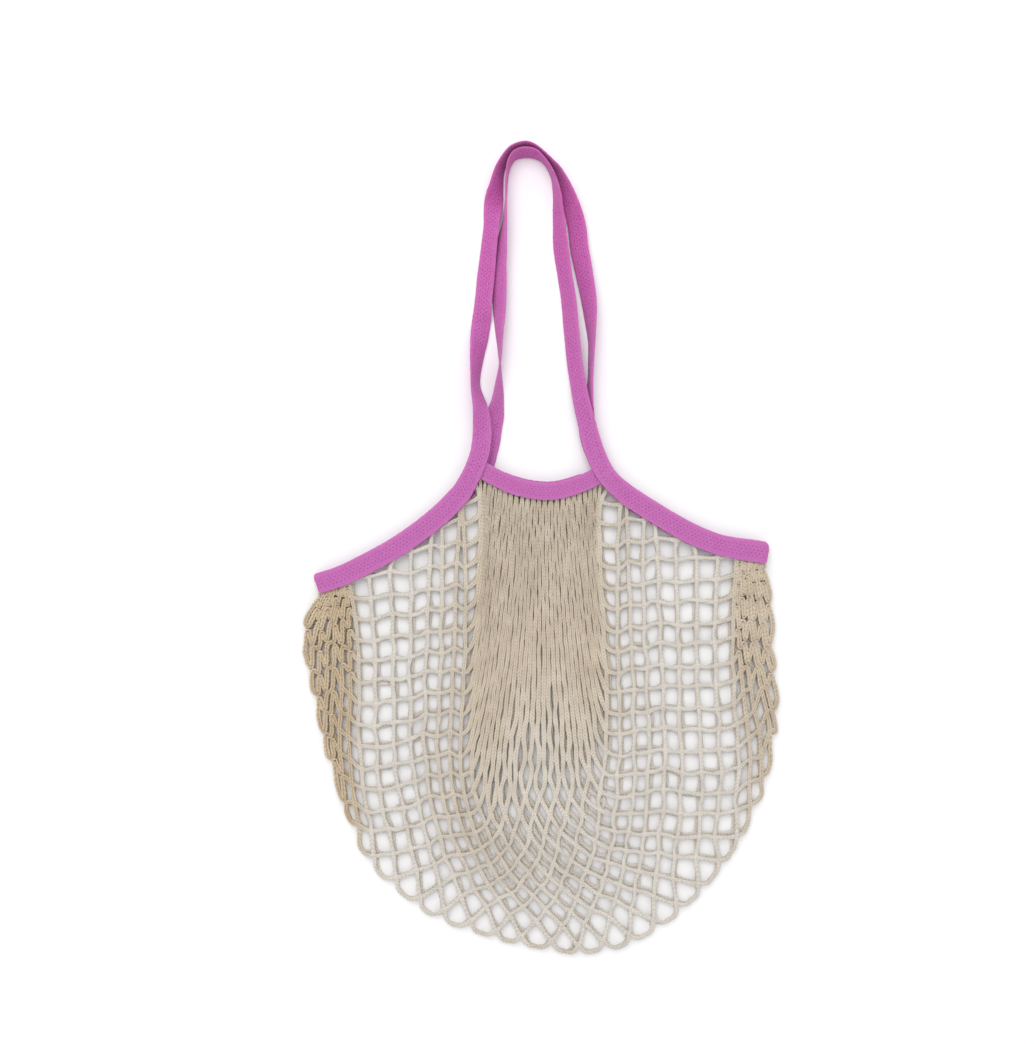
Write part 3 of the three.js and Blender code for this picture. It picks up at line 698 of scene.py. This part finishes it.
def dot_dents(along):
    """Depth of the woven dots at each ring and each place across the tape."""
    aside = LAY * HALF_TAPE
    row = np.floor(aside / DOT_ROW_PITCH)
    off_row = (aside / DOT_ROW_PITCH - row - 0.5) * DOT_ROW_PITCH
    phase = along[:, None] / DOT_PITCH + row[None, :] / 2
    off_dot = (phase - np.round(phase)) * DOT_PITCH
    dots = np.exp(-((off_dot / DOT_LENGTH) ** 2) - (off_row[None, :] / DOT_WIDTH) ** 2)
    return DOT_DEPTH * dots * (np.abs(aside) < DOT_REACH)


def tape_rings(line):
    """The rings of a tape: their runs along it, their shares of its curve and their runs of weave."""
    fine = np.linspace(0, 1, STEPS_PER_STATION * len(line) + 1)
    steps_apart = np.linalg.norm(np.diff(smooth(line, fine), axis=0), axis=1)
    run = np.concatenate([[0], np.cumsum(steps_apart)])
    length = run[-1]
    steps = round(length / RING_STEP)
    evenly_spaced = np.arange(1, steps) * length / steps
    along = np.concatenate([END_STEPS, evenly_spaced, length - END_STEPS[::-1]])
    return along, np.interp(along, run, fine), along * RING_STEP * steps / length


def tape_mesh(stations, ends):
    """A flat section with rounded edges and rows of woven dots, carried along its stations."""
    rows = np.asarray(stations, float)
    line = rows[:, :2]
    bases, rolls, widths = rows[:, 2:].T

    # Middle line, height, width and roll at each ring
    along, shares, woven = tape_rings(line)
    length = along[-1]
    count = len(along)
    aside = left_of(tangents(line, shares))
    wave = EDGE_WAVE * blurred(rng.normal(0, 1, count), EDGE_BLUR)
    middle = smooth(line, shares) + aside * wave[:, None]
    station = shares * (len(rows) - 1)
    base = blurred(np.interp(station, np.arange(len(rows)), bases), STATION_BLUR)
    width = blurred(np.interp(station, np.arange(len(rows)), widths), STATION_BLUR)
    roll = np.radians(smooth(rolls[:, None], shares)[:, 0])
    from_ends = (along, length - along)

    # Directions across and through the tape, whose lower edge lies at the base height
    beside = np.hstack([aside, np.zeros((count, 1))])
    up = np.array([0.0, 0.0, 1.0])
    across = beside * np.cos(roll)[:, None] + up * np.sin(roll)[:, None]
    through = up * np.cos(roll)[:, None] - beside * np.sin(roll)[:, None]
    reach = (np.abs(across[:, 2]) * width + np.abs(through[:, 2]) * TAPE_THICK) / 2
    centre = np.hstack([middle - OUTLINE_MIDDLE, (base + reach)[:, None]])

    # Section at each ring
    left = edge_from_middle(width, "left", ends, from_ends) + rng.normal(0, EDGE_FRAY, count)
    right = edge_from_middle(width, "right", ends, from_ends) + rng.normal(0, EDGE_FRAY, count)
    spread = np.where(LAY > 0, left[:, None] * LAY, right[:, None] * LAY)
    slim = np.minimum(1, END_SLIMNESS + np.minimum(*from_ends) / END_SLIM_LENGTH)
    crown = TAPE_THICK / 2 * np.sqrt(1 - np.abs(LAY) ** EDGE_POWER)
    thick = slim[:, None] * (crown - dot_dents(woven))
    section = np.concatenate([spread, spread[:, -2:0:-1]], axis=1)
    face = np.concatenate([thick, -thick[:, -2:0:-1]], axis=1)
    points = section.shape[1]
    vertices = (
        centre[:, None, :]
        + across[:, None, :] * section[:, :, None]
        + through[:, None, :] * face[:, :, None]
    )
    vertices[..., 2] = np.maximum(vertices[..., 2], 0)
    lay = np.concatenate([LAY, LAY[-2:0:-1]]) * HALF_TAPE
    uv = np.stack([
        np.broadcast_to(woven[:, None], (count, points)),
        np.broadcast_to(lay[None, :], (count, points)),
    ], axis=2)
    return vertices.reshape(-1, 3), tube_quads(count, points), uv.reshape(-1, 2), length


# Materials: stitches of the yarn, weave of the tape, where the tape's painted edge highlight starts and
# where the painted shade of the handles starts

STITCH_SLANT = 0.4
GROOVE_SLOPE = -2.5
WALE_PITCH = 0.767
COURSE_PITCH = 0.69
EDGE_HIGHLIGHT_FROM = 6.3
HANDLE_SHADE_FROM = 0.08
HANDLE_SHADE_FADE = 0.2

# Yarn and tape from dark to light: place on the ramp and screen colour
PALE_YARN = [(0.3, (178, 169, 157)), (0.5, (205, 198, 188)), (0.68, (221, 215, 207))]
# Darker, golden yarn: painted shade and bounce light where the strands crowd
SHADED_CROWDED_YARN = [(0.3, (164, 142, 110)), (0.5, (196, 175, 144)), (0.68, (211, 193, 166))]
LAID_TAPE = [(0.05, (150, 60, 133)), (0.4, (186, 105, 171)), (0.62, (198, 125, 185))]
# Deeper, redder tape: painted shade and bounce light along the handles
SHADED_HANDLE_TAPE = [(0.05, (150, 46, 122)), (0.4, (189, 95, 166)), (0.62, (201, 115, 180))]


def linear(red, green, blue):
    """Linear light from a screen colour."""
    def channel(value):
        value /= 255
        return value / 12.92 if value <= 0.04045 else ((value + 0.055) / 1.055) ** 2.4
    return (channel(red), channel(green), channel(blue), 1.0)


class Surface:
    """A material, with short ways to add to its nodes."""

    def __init__(self, name):
        self.material = bpy.data.materials.new(name)
        self.material.use_nodes = True
        self.nodes = self.material.node_tree.nodes
        self.links = self.material.node_tree.links
        self.shader = self.nodes["Principled BSDF"]

    def place(self):
        """Coordinates in the piece's own space."""
        return self.nodes.new("ShaderNodeTexCoord").outputs["Object"]

    def split(self, vector):
        """The first two coordinates of a place."""
        node = self.nodes.new("ShaderNodeSeparateXYZ")
        self.links.new(vector, node.inputs["Vector"])
        return node.outputs["X"], node.outputs["Y"]

    def run_and_width(self):
        """Coordinates along and across a strand or tape."""
        node = self.nodes.new("ShaderNodeUVMap")
        node.uv_map = "run_and_width"
        return self.split(node.outputs["UV"])

    def noise(self, coordinates, scale, detail):
        node = self.nodes.new("ShaderNodeTexNoise")
        node.inputs["Scale"].default_value = scale
        node.inputs["Detail"].default_value = detail
        self.links.new(coordinates, node.inputs["Vector"])
        return node.outputs["Fac"]

    def ramp(self, value, stops):
        node = self.nodes.new("ShaderNodeValToRGB")
        elements = node.color_ramp.elements
        while len(elements) < len(stops):
            elements.new(0.5)
        for element, (place, colour) in zip(elements, stops):
            element.position = place
            element.color = linear(*colour)
        self.links.new(value, node.inputs["Fac"])
        return node.outputs["Color"]

    def blend(self, share, first, second):
        node = self.nodes.new("ShaderNodeMix")
        node.data_type = "RGBA"
        sockets = {socket.name: socket for socket in node.inputs if socket.enabled}
        for name, value in (("Factor", share), ("A", first), ("B", second)):
            self.links.new(value, sockets[name])
        return next(socket for socket in node.outputs if socket.enabled)

    def maths(self, operation, *values):
        node = self.nodes.new("ShaderNodeMath")
        node.operation = operation
        for socket, value in zip(node.inputs, values):
            if isinstance(value, (int, float)):
                socket.default_value = value
            else:
                self.links.new(value, socket)
        return node.outputs["Value"]

    def weighted(self, *terms):
        """The sum of values, each times its weight."""
        total = None
        for value, weight in terms:
            part = self.maths("MULTIPLY", value, weight)
            total = part if total is None else self.maths("ADD", total, part)
        return total

    def finish(self, colour, height, depth, strength):
        """Gives the shader its colour and its relief, as deep as given in millimetres."""
        self.links.new(colour, self.shader.inputs["Base Color"])
        bump = self.nodes.new("ShaderNodeBump")
        bump.inputs["Strength"].default_value = strength
        bump.inputs["Distance"].default_value = depth * MM
        self.links.new(height, bump.inputs["Height"])
        self.links.new(bump.outputs["Normal"], self.shader.inputs["Normal"])


def cotton_material():
    """Undyed yarn: slanted stitches on two lobes, with a groove between them where it is drawn; each
    stitch is painted lighter on its crown and darker at its ends, the groove gets painted shade, and
    crowded yarn gets darker, golden painted shade.
    """
    surface = Surface("cotton_net")
    maths = surface.maths
    place = surface.place()
    along, aside = surface.run_and_width()
    away = maths("ABSOLUTE", aside)
    stitch = maths("FRACT", maths("SUBTRACT", along, maths("MULTIPLY", away, STITCH_SLANT)))
    back = maths("SUBTRACT", 1.0, stitch)
    swell = maths("MULTIPLY", maths("MULTIPLY", stitch, back), 4.0)
    patches = surface.noise(place, scale=70, detail=3)
    fibres = surface.noise(place, scale=1400, detail=4)
    attribute = surface.nodes.new("ShaderNodeAttribute")
    attribute.attribute_name = "painted_crowd_shade"
    painted_crowd_shade = attribute.outputs["Fac"]
    # Painted shade along the groove between the lobes, where the strand is drawn
    painted_groove_shade = maths("MAXIMUM", maths("MULTIPLY_ADD", away, GROOVE_SLOPE, 1.0), 0.0)
    painted_groove_shade = maths("MULTIPLY", painted_groove_shade, painted_crowd_shade)
    # Painted shade: each stitch lighter on its crown and darker at its ends, and the groove darker
    tone = surface.weighted((swell, 0.22), (fibres, 0.5), (patches, 0.28), (painted_groove_shade, -0.4))
    pale = surface.ramp(tone, PALE_YARN)
    shaded_crowded = surface.ramp(tone, SHADED_CROWDED_YARN)
    # Painted shade and bounce light: darker, golden yarn where the strands are drawn close
    colour = surface.blend(painted_crowd_shade, pale, shaded_crowded)
    height = surface.weighted((swell, 0.6), (fibres, 0.6))
    surface.finish(colour, height, depth=0.4, strength=0.6)
    shader = surface.shader
    shader.inputs["Roughness"].default_value = 0.95
    shader.inputs["Specular IOR Level"].default_value = 0.1
    shader.inputs["Sheen Weight"].default_value = 0.2
    shader.inputs["Sheen Roughness"].default_value = 0.6
    return surface.material


def woven_dots(surface, along, aside):
    """1 in the middle of each woven dot and 0 beyond it, row beside row, each half a pitch on."""
    maths = surface.maths
    in_rows = maths("DIVIDE", aside, DOT_ROW_PITCH)
    row = maths("FLOOR", in_rows)
    off_row = maths("SUBTRACT", maths("FRACT", in_rows), 0.5)
    row_shift = maths("ADD", maths("DIVIDE", row, 2.0), 0.5)
    shifted = maths("ADD", maths("DIVIDE", along, DOT_PITCH), row_shift)
    off_dot = maths("SUBTRACT", maths("FRACT", shifted), 0.5)
    off_row = maths("POWER", maths("MULTIPLY", off_row, DOT_ROW_PITCH / DOT_WIDTH), 2.0)
    off_dot = maths("POWER", maths("MULTIPLY", off_dot, DOT_PITCH / DOT_LENGTH), 2.0)
    dot = maths("SUBTRACT", 1.0, maths("ADD", off_row, off_dot))
    return maths("MAXIMUM", dot, 0.0)


def orchid_material():
    """Dyed tape: rows of woven dots on a fine weave, with painted shade in the dots' pits, a painted
    highlight along both edges, and deeper, redder painted shade and bounce light along the handles.
    """
    surface = Surface("orchid_tape")
    maths = surface.maths
    place = surface.place()
    along, aside = surface.run_and_width()
    away = maths("ABSOLUTE", aside)
    # Painted shade: the woven dots are darkened in colour, as shade in their pits, besides their real
    # dents
    dot = woven_dots(surface, along, aside)
    dot = maths("MULTIPLY", dot, maths("LESS_THAN", away, DOT_REACH))
    dot = maths("MULTIPLY", dot, surface.noise(place, scale=160, detail=2))
    wale = maths("SINE", maths("MULTIPLY", aside, 2 * math.pi / WALE_PITCH))
    course = maths("SINE", maths("MULTIPLY", along, 2 * math.pi / COURSE_PITCH))
    weave = maths("MULTIPLY", wale, course)
    specks = surface.noise(place, scale=1100, detail=3)
    # Painted highlight: both edges of the tape a little lighter
    painted_edge_highlight = maths("GREATER_THAN", away, EDGE_HIGHLIGHT_FROM)
    tone = surface.weighted((specks, 0.8), (weave, 0.05), (dot, -0.65), (painted_edge_highlight, 0.05))
    laid = surface.ramp(tone, LAID_TAPE)
    handle = surface.ramp(tone, SHADED_HANDLE_TAPE)
    # Painted shade and bounce light: deeper, redder tape up the bag, along the handles
    _, up_the_bag = surface.split(place)
    past_mouth = maths("SUBTRACT", up_the_bag, HANDLE_SHADE_FROM)
    share = maths("MULTIPLY", past_mouth, 1 / HANDLE_SHADE_FADE)
    share = maths("MINIMUM", maths("MAXIMUM", share, 0.0), 1.0)
    colour = surface.blend(share, laid, handle)
    height = surface.weighted((weave, 0.3), (dot, -0.8), (specks, 0.3))
    surface.finish(colour, height, depth=0.3, strength=0.6)
    shader = surface.shader
    shader.inputs["Subsurface Weight"].default_value = 0.3
    shader.inputs["Subsurface Radius"].default_value = (1.0, 0.2, 0.4)
    shader.inputs["Subsurface Scale"].default_value = 0.003
    shader.inputs["Roughness"].default_value = 0.8
    shader.inputs["Specular IOR Level"].default_value = 0.15
    shader.inputs["Sheen Weight"].default_value = 0.15
    shader.inputs["Sheen Roughness"].default_value = 0.5
    return surface.material


def paper_material():
    surface = Surface("paper")
    surface.shader.inputs["Base Color"].default_value = (0.9, 0.9, 0.91, 1)
    surface.shader.inputs["Roughness"].default_value = 0.9
    return surface.material


cotton = cotton_material()
orchid = orchid_material()


# Pieces

MOUTH_ROWS = NET_CELLS - MOUTH_CUT
NET_AREA = 2 * MOUTH_ROWS * (2 * MOUTH_CUT + (NET_CELLS + MOUTH_CUT) / 2) / 3 * (CELL * MM) ** 2
HALF_SIDE = NET_CELLS * CELL * MM / 2


def place_cloth(piece, material, node, slot, **sheet):
    """Puts a piece of cloth on the bag in place of a solid."""
    piece.data.materials.append(material)
    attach(piece, "root")
    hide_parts(node)


for name, (vertices, quads, uv) in net_pieces().items():
    place_cloth(mesh_object(name, vertices, quads, uv), cotton, "net_body", "cotton_net",
                flat=(HALF_SIDE, HALF_SIDE), area=NET_AREA / 4)

middle_to_right = RIGHT_BINDING[::-1]
TAPES = {
    "handle_tape_outer": [
        *flat_at(FRONT_TAPE, LEFT_BINDING, TAPE_WIDTH), *strap(OUTER_HANDLE),
        *flat_at(0, middle_to_right, TAPE_WIDTH),
    ],
    "handle_tape_inner": [
        *flat_at(0, LEFT_BINDING, TAPE_WIDTH), *strap(INNER_HANDLE),
        *flat_at(FRONT_TAPE, middle_to_right, TAPE_WIDTH),
    ],
    "mouth_band_front": flat_at(FRONT_TAPE, FRONT_BAND, BAND_WIDTH),
    "mouth_band_back": flat_at(0, BACK_BAND, BAND_WIDTH),
}
TAPE_ENDS = {"handle_tape_inner": (SQUARE_END, ROUND_END)}
for node, stations in TAPES.items():
    vertices, quads, uv, length = tape_mesh(stations, TAPE_ENDS.get(node, (SQUARE_END, SQUARE_END)))
    *_, width = stations[0]
    place_cloth(mesh_object(node + "_cloth", vertices, quads, uv), orchid, node, "orchid_tape",
                flat=(width * MM, length * MM))


# Floor, light and camera

FLOOR_REACH = 6.0
FLOOR_DROP = 0.0004
KEY_PLACE = (-0.4, 1.2, 2.0)
KEY_SIZE = 1.6
KEY_POWER = 22
SKY_STRENGTH = 0.95
VIEW_HEIGHT = 1.0
VIEW_MIDDLE = (np.array([-20.4, 20.8]) - OUTLINE_MIDDLE) * MM
PICTURE_ROWS = 1044
ROW_HEIGHT = 0.85
FRAME_HEIGHT = PICTURE_ROWS * ROW_HEIGHT * MM
SENSOR = 36.0

floor_corners = [
    (-FLOOR_REACH, -FLOOR_REACH, 0), (FLOOR_REACH, -FLOOR_REACH, 0),
    (FLOOR_REACH, FLOOR_REACH, 0), (-FLOOR_REACH, FLOOR_REACH, 0),
]
floor_mesh = bpy.data.meshes.new("floor")
floor_mesh.from_pydata(floor_corners, [], [(0, 1, 2, 3)])
floor_mesh.materials.append(paper_material())
floor = bpy.data.objects.new("floor", floor_mesh)
floor.location.z = -FLOOR_DROP
bpy.context.scene.collection.objects.link(floor)


def area_light(name, place, target, size, power):
    """A square light, aimed at its target."""
    light = bpy.data.lights.new(name, "AREA")
    light.size = size
    light.energy = power
    lamp = bpy.data.objects.new(name, light)
    lamp.location = place
    direction = np.asarray(target, float) - np.asarray(place, float)
    distance = np.linalg.norm(direction)
    tilt = math.acos(-direction[2] / distance)
    turn = math.atan2(-direction[0], direction[1])
    lamp.rotation_euler = (tilt, 0, turn)
    bpy.context.scene.collection.objects.link(lamp)


area_light("key", KEY_PLACE, (0, 0, 0), KEY_SIZE, KEY_POWER)

world = bpy.data.worlds.new("studio")
world.use_nodes = True
sky = world.node_tree.nodes["Background"]
sky.inputs["Color"].default_value = (1, 1, 1, 1)
sky.inputs["Strength"].default_value = SKY_STRENGTH
bpy.context.scene.world = world
bpy.context.scene.view_settings.view_transform = "Standard"

camera_data = bpy.data.cameras.new("camera")
camera_data.sensor_width = SENSOR
camera_data.lens = SENSOR * VIEW_HEIGHT / FRAME_HEIGHT
camera = bpy.data.objects.new("camera", camera_data)
camera.location = (VIEW_MIDDLE[0], VIEW_MIDDLE[1], VIEW_HEIGHT)
bpy.context.scene.collection.objects.link(camera)
bpy.context.scene.camera = camera
